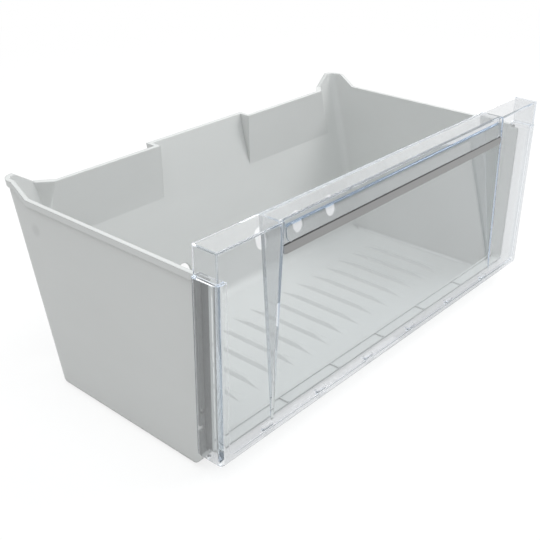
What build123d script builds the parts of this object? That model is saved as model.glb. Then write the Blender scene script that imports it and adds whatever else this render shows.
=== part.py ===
"""Fridge drawer: a grey moulded tub, a clear front cover with a handle, and a trim strip on the handle.

Millimetres. +Z is up, the front faces -Y and the long side lies along X. The origin is on the surface
that the drawer stands on, under the middle of its outer box.
"""

import os
from math import acos, tan

from build123d import *

# Overall sizes
OVERALL_WIDTH = 453.0
OVERALL_DEPTH = 252.2
OVERALL_HEIGHT = 195.4

# Tub
TUB_WALL = 2.4
TUB_RIM_Z = 169.3
TUB_RIM_WIDTH = 439.0
TUB_FLOOR_FRONT_WIDTH = 439.0
TUB_FLOOR_BACK_WIDTH = 433.0
TUB_CORNER_RADIUS = 10.0
TUB_FRONT_FOOT_RADIUS = 22.0
TUB_BACK_FOOT_RADIUS = 14.0
TUB_SIDE_FOOT_RADIUS = 5.0
BACK_LEAN = 42.5
RIM_LIP_OUT = 1.6
RIM_LIP_HEIGHT = 5.5

# Steeper pads at the top of the back wall, one on each side of its middle
PAD_NEAR_X = 63.0
PAD_FAR_X = 178.0
PAD_SIDE_RUN = 14.0
PAD_FOOT_Z = 117.5
PAD_INSET = 11.5

# Raised rear corners: X of the slope on the back wall, and its distance from the back on the side wall
EAR_HEIGHT = 11.0
EAR_BACK_TOP_X = 209.0
EAR_SIDE_FOOT = 33.0
EAR_SIDE_TOP = 16.0

# Vent holes low in the back wall, in a row on each side of its middle
VENTS_PER_SIDE = 3
VENT_FIRST_X = 56.0
VENT_PITCH = 59.5
VENT_WIDTH = 18.5
VENT_LENGTH = 23.8
VENT_Z = 38.8

# Ribs on the floor, running front to back
FLOOR_RIB_COUNT = 16
FLOOR_RIB_PITCH = 24.3
FLOOR_RIB_SETBACK = 37.0
FLOOR_RIB_LENGTH = 102.0
FLOOR_RIB_WIDTH = 9.0
FLOOR_RIB_TOP_WIDTH = 1.6
FLOOR_RIB_HEIGHT = 1.8
FLOOR_RIB_RUN_OUT = 22.0

# Collar round the front opening, and the flange behind it that closes the cover's side channels
COLLAR_REACH = 9.3
COLLAR_WALL = 2.4
COLLAR_SIDE_GAP = 5.6
COLLAR_TOP_GAP = 1.0
COLLAR_CORNER_RADIUS = 6.0
LEDGE_THICKNESS = 1.8
SILL_RISE = 1.1
SILL_RIB_WIDTH = 1.4
FLANGE_THICKNESS = 2.4
FLANGE_SIDE_GAP = 0.6
SEAM_GAP = 0.4
SEAT_GAP = 0.3

# Tabs on the cover's bottom plate, which stand in front of the ledge
TAB_COUNT = 6
TAB_PITCH = 67.0
TAB_LENGTH = 12.0
TAB_THICKNESS = 3.6
TAB_RISE = 2.4
TAB_AHEAD = 6.4

# Locating hole and notch in each side of the flange
SIDE_HOLE_RADIUS = 2.0
SIDE_HOLE_Z = 60.0
SIDE_HOLE_FROM_EDGE = 2.6
NOTCH_Z = 45.0
NOTCH_HEIGHT = 5.0
NOTCH_DEPTH = 3.6

# Clear front cover
COVER_WALL = 2.2
COVER_DEPTH = 22.6
COVER_BOTTOM_Z = 19.0
COVER_STEP_Z = 171.9
FRAME_PROUD = 1.5
FRAME_SIDE_WIDTH = 9.0
FRAME_FOOT_HEIGHT = 7.5
FRAME_INNER_RADIUS = 7.0
COVER_CORNER_RADIUS = 4.8
CAP_EDGE_RADIUS = 1.0
CAP_WIDTH = 68.0
RECESS_FOOT_Z = 31.6
RECESS_FOOT_WIDTH = 334.0
RECESS_LEAD = 2.0
PEG_HOLE_RADIUS = 1.6
PEG_HOLE_FROM_SIDE = 6.0
PEG_HOLE_FROM_FRONT = 17.0

# Handle bridge between the caps, with a lip that hangs from its front edge and a raised band on the lip
BRIDGE_INSET = 3.4
BRIDGE_TUCK = 2.0
BAND_TOP_INSET = 2.2
BAND_TOP_DROP = 5.5
BAND_FOOT_DROP = 18.4
BAND_PROUD = 0.9
BAND_END_INSET = 4.0
BAND_CORNER_RADIUS = 5.0

# Trim strip in the rebate at the foot of the handle lip
TRIM_HEIGHT = 8.0
TRIM_THICKNESS = 1.3
TRIM_END_GAP = 0.5
TRIM_END_RADIUS = 3.0

# Length by which a cut runs past the solid that it opens
OVERCUT = 5.0

# Planes and edges worked out from the sizes above
FRONT_Y = -OVERALL_DEPTH / 2
PANEL_Y = FRONT_Y + FRAME_PROUD
PANEL_BACK_Y = PANEL_Y + COVER_WALL
COVER_BACK_Y = PANEL_Y + COVER_DEPTH
TUB_FRONT_Y = COVER_BACK_Y + SEAM_GAP
SILL_BACK_Y = TUB_FRONT_Y + TUB_WALL
COLLAR_FRONT_Y = TUB_FRONT_Y - COLLAR_REACH
EAR_BACK_Y = OVERALL_DEPTH / 2
EAR_TOP_Z = TUB_RIM_Z + EAR_HEIGHT
LEAN_RATE = BACK_LEAN / TUB_RIM_Z
BACK_FOOT_Y = EAR_BACK_Y - RIM_LIP_OUT - LEAN_RATE * EAR_TOP_Z
COVER_HALF = OVERALL_WIDTH / 2
FIELD_HALF = COVER_HALF - FRAME_SIDE_WIDTH
CAP_HALF = COVER_HALF - FRAME_PROUD
BRIDGE_HALF = CAP_HALF - CAP_WIDTH
COLLAR_HALF = COVER_HALF - COVER_WALL - COLLAR_SIDE_GAP
OPENING_HALF = COLLAR_HALF - COLLAR_WALL
FLANGE_HALF = COVER_HALF - COVER_WALL - FLANGE_SIDE_GAP
EAR_BACK_FOOT_X = PAD_FAR_X + PAD_SIDE_RUN
ROOF_UNDER_Z = COVER_STEP_Z - COVER_WALL
COLLAR_TOP_Z = ROOF_UNDER_Z - COLLAR_TOP_GAP
PLATE_TOP_Z = COVER_BOTTOM_Z + COVER_WALL
LEDGE_Z = PLATE_TOP_Z + SEAT_GAP
LEDGE_TOP_Z = LEDGE_Z + LEDGE_THICKNESS
SILL_Z = LEDGE_TOP_Z + SILL_RISE
BRIDGE_UNDER_Z = OVERALL_HEIGHT - COVER_WALL
BAND_TOP_Z = OVERALL_HEIGHT - BAND_TOP_DROP
TRIM_TOP_Z = OVERALL_HEIGHT - BAND_FOOT_DROP
TRIM_FOOT_Z = TRIM_TOP_Z - TRIM_HEIGHT
TAB_Y = COLLAR_FRONT_Y - TAB_AHEAD


def row_positions(count, pitch):
    """Positions along X of evenly spaced features."""
    return [(i - (count - 1) / 2) * pitch for i in range(count)]


def between(low, high, share):
    return low + (high - low) * share


def facing_front(y):
    """Upright plane that looks towards the front, at one Y; its sketches are in X and Z."""
    return Plane.XZ.offset(-y)


def back_y(z):
    """Outer face of the leaning back wall at a height."""
    return BACK_FOOT_Y + LEAN_RATE * z


def pad_y(z):
    """Outer face of the pads, which leave the leaning wall at their foot."""
    share = (z - PAD_FOOT_Z) / (TUB_RIM_Z - PAD_FOOT_Z)
    return back_y(z) - PAD_INSET * share


def front_half(z):
    return between(TUB_FLOOR_FRONT_WIDTH, TUB_RIM_WIDTH, z / TUB_RIM_Z) / 2


def back_half(z):
    return between(TUB_FLOOR_BACK_WIDTH, TUB_RIM_WIDTH, z / TUB_RIM_Z) / 2


def tub_outline(z, grow, front_y):
    """Plan of the tub at a height, grown outwards from its outer face."""
    with BuildSketch(Plane.XY.offset(z)) as outline:
        with BuildLine():
            Polyline(
                (-front_half(z) - grow, front_y),
                (front_half(z) + grow, front_y),
                (back_half(z) + grow, back_y(z) + grow),
                (-back_half(z) - grow, back_y(z) + grow),
                close=True,
            )
        make_face()
        fillet(outline.vertices().group_by(Axis.Y)[-1], TUB_CORNER_RADIUS + grow)
    return outline.sketch


def tub_block(grow, low_z, high_z, front_y):
    """Closed block of the tub's outline between two heights."""
    with BuildPart() as block:
        add(tub_outline(low_z, grow, front_y))
        add(tub_outline(high_z, grow, front_y))
        loft(ruled=True)
    return block.part


def pad_cut(side, grow):
    """Space outside one pad, between the pad's foot and the rim."""
    near_x = PAD_NEAR_X + grow
    far_x = PAD_FAR_X - grow
    end_x = PAD_FAR_X + PAD_SIDE_RUN - grow
    with BuildPart() as cut:
        for z in (PAD_FOOT_Z, TUB_RIM_Z):
            with BuildSketch(Plane.XY.offset(z)):
                with BuildLine():
                    Polyline(
                        (side * near_x, pad_y(z) + grow),
                        (side * far_x, pad_y(z) + grow),
                        (side * end_x, back_y(z) + grow),
                        (side * end_x, OVERALL_DEPTH),
                        (side * near_x, OVERALL_DEPTH),
                        close=True,
                    )
                make_face()
        loft(ruled=True)
    return cut.part


def padded_block(grow, low_z, front_y):
    """Block of the tub's outline up to the top of the ears, with the pads pushed in."""
    with BuildPart() as block:
        add(tub_block(grow, low_z, EAR_TOP_Z, front_y))
        for side in (-1, 1):
            add(pad_cut(side, grow), mode=Mode.SUBTRACT)
    return block.part


def foot_cut(corner_y, foot_z, radius, inward, lean):
    """Prism to take off where an end wall meets the floor, so that a round is left there."""
    slant = (1 + lean**2) ** 0.5
    half_angle = acos(inward * lean / slant) / 2
    reach = radius / tan(half_angle)
    floor_point = (corner_y + inward * reach, foot_z)
    wall_point = (corner_y + reach * lean / slant, foot_z + reach / slant)
    with BuildPart() as cut:
        with BuildSketch(Plane.YZ):
            with BuildLine():
                Polyline(wall_point, (corner_y, foot_z), floor_point)
                TangentArc(floor_point, wall_point, tangent=(-inward, 0))
            make_face()
        extrude(amount=COVER_HALF, both=True)
    return cut.part


def round_foot(block, grow, foot_z, front_y):
    """Round the foot of a block along its sides, its front and its leaning back."""
    with BuildPart() as rounded:
        add(block)
        foot_edges = rounded.faces().sort_by(Axis.Z)[0].edges().sort_by(Axis.Y)
        fillet(foot_edges[1:], TUB_SIDE_FOOT_RADIUS + grow)
        front_cut = foot_cut(front_y, foot_z, TUB_FRONT_FOOT_RADIUS + grow, 1, 0.0)
        rear_cut = foot_cut(back_y(foot_z) + grow, foot_z, TUB_BACK_FOOT_RADIUS + grow, -1, LEAN_RATE)
        add(front_cut, mode=Mode.SUBTRACT)
        add(rear_cut, mode=Mode.SUBTRACT)
    return rounded.part


def above_rim(drop):
    """Space above the line of the rim and its raised rear corners, with that line lowered by a drop."""
    rim_z = TUB_RIM_Z - drop
    ear_z = EAR_TOP_Z - drop
    high_z = EAR_TOP_Z + OVERCUT
    far_y = EAR_BACK_Y + OVERCUT
    with BuildPart() as space:
        with BuildSketch(Plane.YZ):
            with BuildLine():
                Polyline(
                    (FRONT_Y, rim_z),
                    (EAR_BACK_Y - EAR_SIDE_FOOT, rim_z),
                    (EAR_BACK_Y - EAR_SIDE_TOP, ear_z),
                    (far_y, ear_z),
                    (far_y, high_z),
                    (FRONT_Y, high_z),
                    close=True,
                )
            make_face()
        extrude(amount=OVERALL_WIDTH, both=True)
        with BuildSketch(Plane.XZ):
            with BuildLine():
                Polyline(
                    (-OVERALL_WIDTH, ear_z),
                    (-EAR_BACK_TOP_X, ear_z),
                    (-EAR_BACK_FOOT_X, rim_z),
                    (EAR_BACK_FOOT_X, rim_z),
                    (EAR_BACK_TOP_X, ear_z),
                    (OVERALL_WIDTH, ear_z),
                    (OVERALL_WIDTH, high_z),
                    (-OVERALL_WIDTH, high_z),
                    close=True,
                )
            make_face()
        extrude(amount=OVERALL_DEPTH, both=True)
    return space.part


def recess_half(z):
    """Half the width of the finger recess at a height."""
    share = (z - RECESS_FOOT_Z) / (OVERALL_HEIGHT - RECESS_FOOT_Z)
    return between(RECESS_FOOT_WIDTH / 2, BRIDGE_HALF, share)


def recess_y(z):
    """Front face of the slanted panel behind the finger recess at a height."""
    share = (z - RECESS_FOOT_Z) / (OVERALL_HEIGHT - RECESS_FOOT_Z)
    return between(PANEL_Y, COVER_BACK_Y - COVER_WALL, share)


def recess_block(grow):
    """The finger recess in the cover's front, grown by a wall thickness for the back of its walls."""
    outer_y = FRONT_Y - OVERCUT
    with BuildPart() as block:
        for z in (RECESS_FOOT_Z - RECESS_LEAD, OVERALL_HEIGHT + RECESS_LEAD):
            inner_y = recess_y(z) + grow
            with BuildSketch(Plane.XY.offset(z)):
                with Locations((0, (outer_y + inner_y) / 2)):
                    Rectangle(2 * (recess_half(z) + grow), inner_y - outer_y)
        loft(ruled=True)
    return block.part


def upright_box(half_x, front_y, rear_y, low_z, high_z):
    """Box that is centred in X between two Y planes and two heights."""
    with BuildPart() as box:
        with BuildSketch(Plane.XY.offset(low_z)):
            with Locations((0, (front_y + rear_y) / 2)):
                Rectangle(2 * half_x, rear_y - front_y)
        extrude(amount=high_z - low_z)
    return box.part


# Lip that runs along the rim and over the raised rear corners
with BuildPart() as rim_lip:
    add(padded_block(RIM_LIP_OUT, TUB_RIM_Z - RIM_LIP_HEIGHT, TUB_FRONT_Y))
    add(above_rim(RIM_LIP_HEIGHT), mode=Mode.INTERSECT)

with BuildPart() as tub:
    add(round_foot(padded_block(0.0, 0.0, TUB_FRONT_Y), 0.0, 0.0, TUB_FRONT_Y))
    add(rim_lip.part)
    add(above_rim(0.0), mode=Mode.SUBTRACT)

    # Flange inside the cover's rear edge
    with BuildSketch(facing_front(TUB_FRONT_Y)):
        with Locations((0, (LEDGE_Z + COLLAR_TOP_Z) / 2)):
            Rectangle(2 * FLANGE_HALF, COLLAR_TOP_Z - LEDGE_Z)
    extrude(amount=FLANGE_THICKNESS)

    # Collar in front of the opening
    with BuildSketch(facing_front(SILL_BACK_Y)) as collar_face:
        with Locations((0, (LEDGE_Z + COLLAR_TOP_Z) / 2)):
            Rectangle(2 * COLLAR_HALF, COLLAR_TOP_Z - LEDGE_Z)
        fillet(collar_face.vertices().group_by(Axis.Z)[0], COLLAR_CORNER_RADIUS)
    extrude(amount=SILL_BACK_Y - COLLAR_FRONT_Y)

    # Hollow of the tub
    hollow = padded_block(-TUB_WALL, TUB_WALL, SILL_BACK_Y)
    add(round_foot(hollow, -TUB_WALL, TUB_WALL, SILL_BACK_Y), mode=Mode.SUBTRACT)

    # Front opening, above the sill at the tub's wall and above the ledge in the collar
    for plane_y, foot_z, length in (
        (SILL_BACK_Y, SILL_Z, TUB_WALL),
        (TUB_FRONT_Y, LEDGE_TOP_Z, COLLAR_REACH),
    ):
        with BuildSketch(facing_front(plane_y)) as opening_face:
            with Locations((0, (foot_z + EAR_TOP_Z) / 2)):
                Rectangle(2 * OPENING_HALF, EAR_TOP_Z - foot_z)
            fillet(opening_face.vertices().group_by(Axis.Z)[0], COLLAR_CORNER_RADIUS - COLLAR_WALL)
        extrude(amount=length, mode=Mode.SUBTRACT)

    # Short ribs across the ledge
    with BuildSketch(Plane.XY.offset(LEDGE_TOP_Z)):
        rib_y = (COLLAR_FRONT_Y + TUB_FRONT_Y) / 2
        with Locations([(x, rib_y) for x in row_positions(TAB_COUNT - 1, TAB_PITCH)]):
            Rectangle(SILL_RIB_WIDTH, COLLAR_REACH)
    extrude(amount=SILL_RISE)

    # Locating hole and notch in both sides of the flange
    hole_x = FLANGE_HALF - SIDE_HOLE_FROM_EDGE
    notch_x = FLANGE_HALF - NOTCH_DEPTH / 2
    with BuildSketch(facing_front(TUB_FRONT_Y)):
        with Locations((-hole_x, SIDE_HOLE_Z), (hole_x, SIDE_HOLE_Z)):
            Circle(SIDE_HOLE_RADIUS)
        with Locations((-notch_x, NOTCH_Z), (notch_x, NOTCH_Z)):
            Rectangle(NOTCH_DEPTH, NOTCH_HEIGHT)
    extrude(amount=FLANGE_THICKNESS, mode=Mode.SUBTRACT)

    # Vent holes, cut square to the leaning back wall
    wall_plane = Plane(origin=(0, back_y(VENT_Z), VENT_Z), x_dir=(1, 0, 0), z_dir=(0, 1, -LEAN_RATE))
    vent_row = [VENT_FIRST_X + n * VENT_PITCH for n in range(VENTS_PER_SIDE)]
    with BuildSketch(wall_plane):
        with Locations([(side * x, 0) for side in (-1, 1) for x in vent_row]):
            SlotOverall(VENT_LENGTH, VENT_WIDTH, rotation=90)
    extrude(amount=2 * TUB_WALL, both=True, mode=Mode.SUBTRACT)

    # Floor ribs that run out flat at both ends
    floor_rib_y = SILL_BACK_Y + FLOOR_RIB_SETBACK + FLOOR_RIB_LENGTH / 2
    for x in row_positions(FLOOR_RIB_COUNT, FLOOR_RIB_PITCH):
        with BuildSketch(Plane.XY.offset(TUB_WALL)):
            with Locations((x, floor_rib_y)):
                Rectangle(FLOOR_RIB_WIDTH, FLOOR_RIB_LENGTH)
        with BuildSketch(Plane.XY.offset(TUB_WALL + FLOOR_RIB_HEIGHT)):
            with Locations((x, floor_rib_y)):
                Rectangle(FLOOR_RIB_TOP_WIDTH, FLOOR_RIB_LENGTH - 2 * FLOOR_RIB_RUN_OUT)
        loft(ruled=True)

# Outside of the cover: a proud lower box with a sunk field in its front, and the cap block on top of it
with BuildPart() as cover_outside:
    add(upright_box(COVER_HALF, FRONT_Y, COVER_BACK_Y, COVER_BOTTOM_Z, COVER_STEP_Z))
    front_edges = cover_outside.faces().sort_by(Axis.Y)[0].edges()
    side_foot_edges = cover_outside.faces().sort_by(Axis.Z)[0].edges().filter_by(Axis.Y)
    fillet(front_edges.sort_by(Axis.Z)[:3] + side_foot_edges, COVER_CORNER_RADIUS)
    with BuildSketch(facing_front(PANEL_Y)) as field_face:
        field_foot_z = COVER_BOTTOM_Z + FRAME_FOOT_HEIGHT
        with Locations((0, (field_foot_z + OVERALL_HEIGHT) / 2)):
            Rectangle(2 * FIELD_HALF, OVERALL_HEIGHT - field_foot_z)
        fillet(field_face.vertices().group_by(Axis.Z)[0], FRAME_INNER_RADIUS)
    extrude(amount=OVERCUT, mode=Mode.SUBTRACT)

with BuildPart() as cap_block:
    add(upright_box(CAP_HALF, PANEL_Y, COVER_BACK_Y, ROOF_UNDER_Z, OVERALL_HEIGHT))
    top_edges = cap_block.faces().sort_by(Axis.Z)[-1].edges().sort_by(Axis.Y)
    corner_edges = cap_block.faces().sort_by(Axis.Y)[0].edges().filter_by(Axis.Z)
    fillet(top_edges[:3] + corner_edges, CAP_EDGE_RADIUS)

# Hollow of the cover: side channels under a roof, the field, and the caps above the roof
with BuildPart() as cover_hollow:
    open_y = COVER_BACK_Y + OVERCUT
    add(upright_box(COVER_HALF - COVER_WALL, PANEL_BACK_Y, open_y, PLATE_TOP_Z, ROOF_UNDER_Z))
    add(upright_box(FIELD_HALF, PANEL_BACK_Y, open_y, PLATE_TOP_Z, BRIDGE_UNDER_Z))
    add(upright_box(CAP_HALF - COVER_WALL, PANEL_BACK_Y, open_y, COVER_STEP_Z, BRIDGE_UNDER_Z))
    add(recess_block(COVER_WALL), mode=Mode.SUBTRACT)

with BuildPart() as front_cover:
    add(cover_outside.part)
    add(cap_block.part)
    add(recess_block(0.0), mode=Mode.SUBTRACT)
    add(cover_hollow.part, mode=Mode.SUBTRACT)

    # Handle bridge and its lip, tucked into the recess walls at both ends
    with BuildSketch(Plane.YZ):
        with BuildLine():
            Polyline(
                (COVER_BACK_Y, OVERALL_HEIGHT),
                (PANEL_Y + BRIDGE_INSET, OVERALL_HEIGHT),
                (PANEL_Y + BAND_TOP_INSET + BAND_PROUD, BAND_TOP_Z),
                (PANEL_Y + BAND_PROUD, TRIM_TOP_Z),
                (PANEL_Y + TRIM_THICKNESS, TRIM_TOP_Z),
                (PANEL_Y + TRIM_THICKNESS, TRIM_FOOT_Z),
                (PANEL_Y + COVER_WALL, TRIM_FOOT_Z),
                (PANEL_Y + COVER_WALL, TRIM_TOP_Z),
                (PANEL_Y + BAND_TOP_INSET + COVER_WALL, BAND_TOP_Z),
                (PANEL_Y + BRIDGE_INSET + COVER_WALL, BRIDGE_UNDER_Z),
                (COVER_BACK_Y, BRIDGE_UNDER_Z),
                close=True,
            )
        make_face()
    extrude(amount=BRIDGE_HALF + BRIDGE_TUCK, both=True)

    # Raised band on the lip, above the trim strip
    band_height = ((BAND_TOP_Z - TRIM_TOP_Z) ** 2 + BAND_TOP_INSET**2) ** 0.5
    band_plane = Plane(
        origin=(0, PANEL_Y, TRIM_TOP_Z),
        x_dir=(1, 0, 0),
        z_dir=(0, TRIM_TOP_Z - BAND_TOP_Z, BAND_TOP_INSET),
    )
    with BuildSketch(band_plane) as band_face:
        with Locations((0, band_height / 2)):
            Rectangle(2 * (recess_half(BAND_TOP_Z) - BAND_END_INSET), band_height)
        fillet(band_face.vertices().group_by(Axis.Z)[-1], BAND_CORNER_RADIUS)
    extrude(amount=BAND_PROUD, dir=(0, 1, 0))

    # Tabs on the bottom plate, and a locating hole at each end of it
    with BuildSketch(Plane.XY.offset(PLATE_TOP_Z)):
        with Locations([(x, TAB_Y) for x in row_positions(TAB_COUNT, TAB_PITCH)]):
            SlotOverall(TAB_LENGTH, TAB_THICKNESS)
    extrude(amount=TAB_RISE)
    with BuildSketch(Plane.XY.offset(COVER_BOTTOM_Z)):
        peg_x = COVER_HALF - PEG_HOLE_FROM_SIDE
        peg_y = FRONT_Y + PEG_HOLE_FROM_FRONT
        with Locations((-peg_x, peg_y), (peg_x, peg_y)):
            Circle(PEG_HOLE_RADIUS)
    extrude(amount=COVER_WALL, mode=Mode.SUBTRACT)

with BuildPart() as handle_trim:
    trim_half = recess_half(TRIM_TOP_Z) - TRIM_END_GAP
    with BuildSketch(facing_front(PANEL_Y + TRIM_THICKNESS)) as trim_face:
        with Locations((0, (TRIM_FOOT_Z + TRIM_TOP_Z) / 2)):
            Rectangle(2 * trim_half, TRIM_HEIGHT)
        fillet(trim_face.vertices().group_by(Axis.Z)[0], TRIM_END_RADIUS)
    extrude(amount=TRIM_THICKNESS)

os.makedirs("parts", exist_ok=True)
tub.part.label = "tub"
export_step(tub.part, "parts/tub.step")
front_cover.part.label = "front_cover"
export_step(front_cover.part, "parts/front_cover.step")
handle_trim.part.label = "handle_trim"
export_step(handle_trim.part, "parts/handle_trim.step")
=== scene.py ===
from math import cos, radians, sin

import bpy
from mathutils import Matrix, Vector

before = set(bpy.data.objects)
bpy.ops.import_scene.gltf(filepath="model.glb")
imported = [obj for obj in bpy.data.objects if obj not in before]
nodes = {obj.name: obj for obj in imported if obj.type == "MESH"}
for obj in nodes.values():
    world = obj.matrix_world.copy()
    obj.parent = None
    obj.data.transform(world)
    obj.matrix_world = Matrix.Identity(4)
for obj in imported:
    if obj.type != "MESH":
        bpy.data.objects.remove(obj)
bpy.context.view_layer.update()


def grey(level):
    return (level, level, level, 1.0)


# All lengths and places are in metres.
# Bevels of the few sharp edges inside a CAD face. The loaded meshes are open between CAD faces, so the
# finishes round all the other edges in their shading.
TUB_BEVEL = 0.0007
COVER_BEVEL = 0.00025
BEVEL_ANGLE = radians(28.0)
# Likeness of the rounded and the plain normal on an edge and on a face
EDGE_LIKENESS, FACE_LIKENESS = 0.80, 0.99

# Tub plastic
TUB_GREY_LOW = (0.650, 0.656, 0.650, 1.0)
TUB_GREY_HIGH = (0.694, 0.700, 0.694, 1.0)
TUB_EDGE_RADIUS = 0.0012
# Grey of the gate marks, also used for the painted shade on the rib flanks
MARK_AND_SHADE_GREY = grey(0.36)
# Painted shade in narrow gaps
GAP_SHADE_GREY = grey(0.13)
# Gate mark on the outer face of each side wall
GATE_PLACE = (0.0, 0.0856, 0.1445)
GATE_CORE, GATE_RIM = 0.0020, 0.0075
GATE_SHARE = 0.22
OUTER_FACE_X = 0.218
# Painted shade on the floor ribs: the flanks that face left are darker
RIBS_TOP_Z, ABOVE_RIBS_Z = 0.0048, 0.0052
RIBS_END_X, PAST_RIBS_X = 0.190, 0.195
FLANK_FACING, TOP_FACING = -0.40, -0.10
FLANK_SHADE_SHARE = 0.34
# Painted shade in narrow gaps, most of it in the channels at the sides
GAP_REACH = 0.010
GAP_CLOSED, GAP_OPEN = 0.30, 0.72
CHANNEL_START_X, CHANNEL_X = 0.190, 0.207
GAP_SHADE_SHARE, CHANNEL_SHADE_SHARE = 0.30, 0.50

# Clear plastic
CLEAR_TINT = (0.83, 0.84, 0.85, 1.0)
# Painted bluish shade along the edges
CLEAR_EDGE_SHADE_TINT = (0.72, 0.79, 0.88, 1.0)
CLEAR_EDGE_SHADE_REACH = 0.0004
CLEAR_EDGE_RADIUS = 0.0003
# Painted blue line of shade on the upper edge of the handle's raised band
BAND_BLUE_SHADE = (0.36, 0.50, 0.72, 1.0)
BAND_PLACE = (0.0, -0.1221, 0.1899)
BAND_CORE, BAND_RIM = 0.0010, 0.0016
BAND_END_X, PAST_BAND_X = 0.153, 0.154
# A view straight through crosses six surfaces at most, and light that turns inside is caught
MOST_SURFACES = 6.5
MOST_TURNS = 1.5
CAUGHT_TINT = (0.79, 0.825, 0.87, 1.0)
PASSING_TINT = (0.90, 0.915, 0.92, 1.0)

# Silver trim
TRIM_GREY_LOW = grey(0.25)
TRIM_GREY_HIGH = grey(0.36)
# Painted shadow line along the upper edge of the trim
TRIM_SHADOW_GREY = grey(0.05)
TRIM_SHADOW_Z, TRIM_TOP_Z = 0.1759, 0.1764
TRIM_EDGE_RADIUS = 0.0004

# Studio
WHITE = grey(1.0)
FLOOR_SIZE = 12.0
FLOOR_Z = -0.0005
FLOOR_BOUNCE = grey(0.78)
FLOOR_SHADE = grey(0.22)
FLOOR_GLOW = 0.80
NEAR_FLOOR, FAR_FLOOR = 0.5, 1.4
WORLD_LIGHT = 0.47
LAMP_TARGET = Vector((0.0, 0.0, 0.1))
# Name, place, size, power and colour of each lamp
LAMPS = [
    ("overhead", (-0.45, -0.1, 2.2), 2.0, 27.0, (0.94, 1.0, 1.0)),
    ("left_back", (-0.75, 0.75, 0.6), 0.5, 0.4, (1.0, 1.0, 1.0)),
    ("key_right", (1.2, -0.7, 1.5), 0.9, 15.0, (1.0, 1.0, 1.0)),
    ("back_right", (1.5, 1.13, 1.0), 1.0, 2.0, (1.0, 1.0, 1.0)),
]
CAMERA_PLACE = (-0.5919, -0.4879, 0.4519)
CAMERA_YAW, CAMERA_PITCH, CAMERA_ROLL = radians(-49.107), radians(27.481), radians(0.454)
CAMERA_LENS = 59.78
CAMERA_SENSOR = 36.0


class Wire:
    """A shader socket that can be used in sums, and the way to every other node of its tree."""

    def __init__(self, tree, socket=None):
        self.tree = tree
        self.socket = socket

    def add(self, kind, settings=None, sockets=None, out=0):
        """A node with its settings made first, then its sockets filled with values or wires."""
        node = self.tree.nodes.new(kind)
        for name, value in (settings or {}).items():
            setattr(node, name, value)
        for name, value in (sockets or {}).items():
            if isinstance(value, Wire):
                value.into(node.inputs[name])
            else:
                node.inputs[name].default_value = value
        return Wire(self.tree, node.outputs[out])

    def into(self, socket):
        """Link this wire to a socket."""
        self.tree.links.new(self.socket, socket)

    def _math(self, operation, first, second):
        return self.add("ShaderNodeMath", {"operation": operation}, {0: first, 1: second})

    def __add__(self, other):
        return self._math("ADD", self, other)

    def __radd__(self, other):
        return self._math("ADD", other, self)

    def __sub__(self, other):
        return self._math("SUBTRACT", self, other)

    def __rsub__(self, other):
        return self._math("SUBTRACT", other, self)

    def __mul__(self, other):
        return self._math("MULTIPLY", self, other)

    def __rmul__(self, other):
        return self._math("MULTIPLY", other, self)

    def __abs__(self):
        return self.add("ShaderNodeMath", {"operation": "ABSOLUTE"}, {0: self})

    def most(self, other):
        return self._math("MAXIMUM", self, other)

    def over(self, limit):
        """1 above the limit, 0 below it."""
        return self._math("GREATER_THAN", self, limit)

    def faded(self, start, end):
        """1 up to the start, then smoothly down to 0 at the end."""
        return self.add("ShaderNodeMapRange", {"interpolation_type": "SMOOTHSTEP"},
                        {"Value": self, "From Min": start, "From Max": end, "To Min": 1.0, "To Max": 0.0})

    def axis(self, name):
        """One coordinate of a vector."""
        return self.add("ShaderNodeSeparateXYZ", None, {"Vector": self}, name)

    def stretched(self, scale):
        """A vector scaled along each axis."""
        return self.add("ShaderNodeVectorMath", {"operation": "MULTIPLY"}, {0: self, 1: scale})

    def off_line(self, place):
        """Distance from the line along X through a place that has X zero."""
        flat = self.stretched((0.0, 1.0, 1.0))
        return self.add("ShaderNodeVectorMath", {"operation": "DISTANCE"}, {0: flat, 1: place}, "Value")

    def noise(self, scale, detail, roughness):
        """Value noise between 0 and 1 at these coordinates."""
        return self.add("ShaderNodeTexNoise", {"noise_dimensions": "3D"},
                        {"Vector": self, "Scale": scale, "Detail": detail, "Roughness": roughness}, "Fac")

    def ray(self, fact):
        """What the light path says of the ray."""
        return self.add("ShaderNodeLightPath", out=fact)

    def blend(self, share, first, second):
        """Colour between two colours."""
        return self.add("ShaderNodeMix", {"data_type": "RGBA"},
                        {"Factor": share, 6: first, 7: second}, 2)

    def mix(self, share, first, second):
        """Shader between two shaders."""
        return self.add("ShaderNodeMixShader", None, {0: share, 1: first, 2: second})

    def rounded(self, radius):
        """Normal of the surface as if its edges had a radius."""
        return self.add("ShaderNodeBevel", {"samples": 6}, {"Radius": radius})

    def normal(self):
        """Plain normal of the surface."""
        return self.add("ShaderNodeNewGeometry", out="Normal")

    def edges(self, radius):
        """1 on the edges of a piece and 0 further from them than about the radius."""
        alike = self.add("ShaderNodeVectorMath", {"operation": "DOT_PRODUCT"},
                         {0: self.rounded(radius), 1: self.normal()}, "Value")
        return alike.faded(EDGE_LIKENESS, FACE_LIKENESS)

    def bump(self, height, strength, distance, edge_radius):
        """Surface relief on top of edges that are rounded by a radius."""
        return self.add("ShaderNodeBump", None, {
            "Height": height, "Strength": strength, "Distance": distance, "Normal": self.rounded(edge_radius)})


def new_material(name):
    """An empty material, its first wire and its surface socket."""
    material = bpy.data.materials.new(name)
    material.use_nodes = True
    material.node_tree.nodes.clear()
    output = material.node_tree.nodes.new("ShaderNodeOutputMaterial")
    return material, Wire(material.node_tree), output.inputs["Surface"]


def seen_directly(wire):
    """1 for rays that see a surface, straight or by way of gloss and clear plastic."""
    return wire.ray("Is Camera Ray").most(wire.ray("Is Glossy Ray")).most(wire.ray("Is Transmission Ray"))


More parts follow.
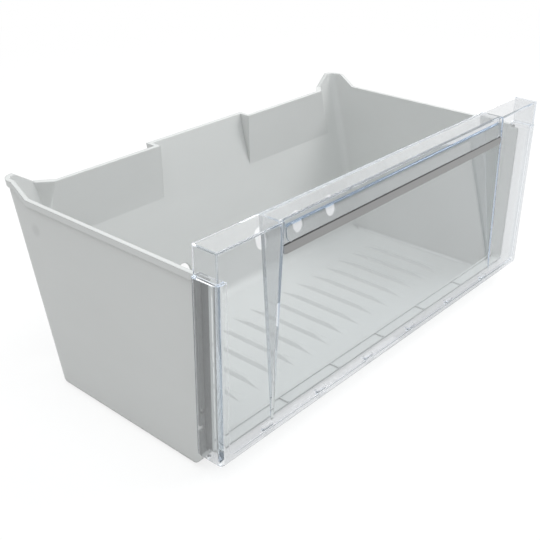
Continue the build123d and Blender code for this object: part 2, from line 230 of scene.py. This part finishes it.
def make_tub_plastic():
    """Light grey moulding with a fine satin grain, faint flow clouds, handling haze, a gate mark on each side,
    painted shade in narrow gaps, and painted shade on the left flanks of the floor ribs."""
    material, wire, surface = new_material("tub_plastic")
    where = wire.add("ShaderNodeTexCoord", out="Object")
    from_middle = abs(where.axis("X"))
    grain = where.noise(2200.0, 3.0, 0.6)
    flow = where.stretched((1.0, 1.0, 2.2)).noise(9.0, 3.0, 0.55)
    haze = where.noise(46.0, 4.0, 0.6)
    plain = wire.blend(flow, TUB_GREY_LOW, TUB_GREY_HIGH)

    gate = where.off_line(GATE_PLACE).faded(GATE_CORE, GATE_RIM) * from_middle.over(OUTER_FACE_X)
    marked = wire.blend(GATE_SHARE * gate, plain, MARK_AND_SHADE_GREY)

    # Painted shade on the flanks of the floor ribs that face left
    on_floor = where.axis("Z").faded(RIBS_TOP_Z, ABOVE_RIBS_Z) * from_middle.faded(RIBS_END_X, PAST_RIBS_X)
    left_flank_shade = on_floor * wire.normal().axis("X").faded(FLANK_FACING, TOP_FACING)
    rib_shaded = wire.blend(FLANK_SHADE_SHARE * left_flank_shade, marked, MARK_AND_SHADE_GREY)

    # Painted shade: darker where little is open around the surface, most of it in the side channels
    openness = wire.add("ShaderNodeAmbientOcclusion", {"samples": 6}, {"Distance": GAP_REACH}, "AO")
    in_channel = 1.0 - from_middle.faded(CHANNEL_START_X, CHANNEL_X)
    gap_shade = openness.faded(GAP_CLOSED, GAP_OPEN) * (GAP_SHADE_SHARE + CHANNEL_SHADE_SHARE * in_channel)
    shader = wire.add("ShaderNodeBsdfPrincipled", None, {
        "Base Color": wire.blend(gap_shade, rib_shaded, GAP_SHADE_GREY),
        "Roughness": 0.36 + 0.10 * haze + 0.05 * grain,
        "Normal": wire.bump(grain + 0.6 * haze, 0.16, 0.00006, TUB_EDGE_RADIUS),
        "IOR": 1.5,
        "Specular IOR Level": 0.42,
    })
    shader.into(surface)
    return material


def make_clear_plastic():
    """Polished clear plastic with painted bluish shade along its edges and on the handle's band, and faint
    moulding waves.
    Light that is caught in it comes out dim and blue, and soft light and shadows pass it straight."""
    material, wire, surface = new_material("clear_plastic")
    where = wire.add("ShaderNodeTexCoord", out="Object")
    waves = where.stretched((1.0, 3.0, 2.0)).noise(14.0, 2.0, 0.4)
    film = where.noise(60.0, 3.0, 0.6)
    # Painted bluish shade along every edge
    plain = wire.blend(wire.edges(CLEAR_EDGE_SHADE_REACH), CLEAR_TINT, CLEAR_EDGE_SHADE_TINT)
    # Painted blue line of shade along the upper edge of the band
    along_band = abs(where.axis("X")).faded(BAND_END_X, PAST_BAND_X)
    band_shade_line = where.off_line(BAND_PLACE).faded(BAND_CORE, BAND_RIM) * along_band
    plastic = wire.add("ShaderNodeBsdfPrincipled", None, {
        "Base Color": wire.blend(band_shade_line, plain, BAND_BLUE_SHADE),
        "Roughness": 0.003 + 0.004 * film,
        "Normal": wire.bump(waves, 0.02, 0.0004, CLEAR_EDGE_RADIUS),
        "IOR": 1.53,
        "Transmission Weight": 1.0,
    })
    caught = wire.add("ShaderNodeBsdfTransparent", None, {"Color": CAUGHT_TINT})
    passing = wire.add("ShaderNodeBsdfTransparent", None, {"Color": PASSING_TINT})
    is_caught = wire.ray("Ray Depth").over(MOST_SURFACES).most(wire.ray("Glossy Depth").over(MOST_TURNS))
    is_passing = wire.ray("Is Shadow Ray").most(wire.ray("Is Diffuse Ray"))
    wire.mix(is_passing, wire.mix(is_caught, plastic, caught), passing).into(surface)
    return material


def make_silver_trim():
    """Silver strip brushed along its length, with a painted shadow line along its upper edge."""
    material, wire, surface = new_material("silver_trim")
    where = wire.add("ShaderNodeTexCoord", out="Object")
    brush = where.stretched((9.0, 900.0, 2600.0)).noise(1.0, 3.0, 0.6)
    stain = where.stretched((12.0, 60.0, 60.0)).noise(1.0, 3.0, 0.5)
    plain = wire.blend(0.55 * brush + 0.45 * stain, TRIM_GREY_LOW, TRIM_GREY_HIGH)
    # Painted shadow along the upper edge, where the strip meets the band
    below_shadow_line = where.axis("Z").faded(TRIM_SHADOW_Z, TRIM_TOP_Z)
    shader = wire.add("ShaderNodeBsdfPrincipled", None, {
        "Base Color": wire.blend(below_shadow_line, TRIM_SHADOW_GREY, plain),
        "Metallic": 0.9,
        "Roughness": 0.34 + 0.14 * brush,
        "Normal": wire.bump(brush, 0.25, 0.00005, TRIM_EDGE_RADIUS),
    })
    shader.into(surface)
    return material


def make_floor_paint():
    """White studio floor: seen as white, with the object's soft shadow left on it and no horizon far away."""
    material, wire, surface = new_material("studio_floor")
    plain = wire.add("ShaderNodeBsdfDiffuse", None, {"Color": FLOOR_BOUNCE})
    shade = wire.add("ShaderNodeBsdfDiffuse", None, {"Color": FLOOR_SHADE})
    glow = wire.add("ShaderNodeEmission", None, {"Color": WHITE, "Strength": FLOOR_GLOW})
    near = wire.add("ShaderNodeAddShader", None, {0: shade, 1: glow})
    far = wire.add("ShaderNodeEmission", None, {"Color": WHITE, "Strength": 1.0})
    where = wire.add("ShaderNodeTexCoord", out="Object")
    distance = wire.add("ShaderNodeVectorMath", {"operation": "LENGTH"}, {0: where}, "Value")
    white = wire.mix(distance.faded(NEAR_FLOOR, FAR_FLOOR), far, near)
    wire.mix(seen_directly(wire), plain, white).into(surface)
    return material


def dress(node_name, material):
    """Give a CAD node its finish."""
    piece = nodes[node_name]
    piece.data.materials.clear()
    piece.data.materials.append(material)


def bevel_inside_faces(node_name, width):
    """Bevel the sharp edges of a CAD node that lie inside a CAD face."""
    bevel = nodes[node_name].modifiers.new("soft_edges", "BEVEL")
    bevel.width = width
    bevel.segments = 2
    bevel.limit_method = "ANGLE"
    bevel.angle_limit = BEVEL_ANGLE
    bevel.harden_normals = True


def make_floor():
    bpy.ops.mesh.primitive_plane_add(size=FLOOR_SIZE, location=(0.0, 0.0, FLOOR_Z))
    floor = bpy.context.object
    floor.name = "studio_floor"
    floor.data.materials.append(make_floor_paint())


def make_world():
    """Even white surroundings: full white where they are seen, dimmer as light."""
    world = bpy.data.worlds.new("studio")
    bpy.context.scene.world = world
    world.use_nodes = True
    world.node_tree.nodes.clear()
    wire = Wire(world.node_tree)
    output = world.node_tree.nodes.new("ShaderNodeOutputWorld")
    light = wire.add("ShaderNodeBackground", None, {"Color": WHITE, "Strength": WORLD_LIGHT})
    white = wire.add("ShaderNodeBackground", None, {"Color": WHITE, "Strength": 1.0})
    wire.mix(seen_directly(wire), light, white).into(output.inputs["Surface"])


def make_lamp(name, place, size, power, colour):
    """Square soft light that faces the drawer."""
    light = bpy.data.lights.new(name, "AREA")
    light.shape = "SQUARE"
    light.size = size
    light.energy = power
    light.color = colour
    lamp = bpy.data.objects.new(name, light)
    bpy.context.collection.objects.link(lamp)
    lamp.location = place
    lamp.rotation_euler = (LAMP_TARGET - Vector(place)).to_track_quat("-Z", "Y").to_euler()


def make_camera():
    """Camera that stands where the photograph was taken from."""
    level = cos(CAMERA_PITCH)
    back = Vector((sin(CAMERA_YAW) * level, -cos(CAMERA_YAW) * level, sin(CAMERA_PITCH)))
    right = Vector((cos(CAMERA_YAW), sin(CAMERA_YAW), 0.0))
    up = back.cross(right)
    turned_right = cos(CAMERA_ROLL) * right + sin(CAMERA_ROLL) * up
    turned_up = -sin(CAMERA_ROLL) * right + cos(CAMERA_ROLL) * up
    data = bpy.data.cameras.new("camera")
    data.sensor_fit = "HORIZONTAL"
    data.sensor_width = CAMERA_SENSOR
    data.lens = CAMERA_LENS
    data.clip_end = 50.0
    camera = bpy.data.objects.new("camera", data)
    bpy.context.collection.objects.link(camera)
    turn = Matrix((turned_right, turned_up, back)).transposed().to_4x4()
    camera.matrix_world = Matrix.Translation(CAMERA_PLACE) @ turn
    bpy.context.scene.camera = camera


dress("tub", make_tub_plastic())
dress("front_cover", make_clear_plastic())
dress("handle_trim", make_silver_trim())
bevel_inside_faces("tub", TUB_BEVEL)
bevel_inside_faces("front_cover", COVER_BEVEL)
make_floor()
make_world()
for lamp_row in LAMPS:
    make_lamp(*lamp_row)
make_camera()
bpy.context.scene.view_settings.view_transform = "Standard"
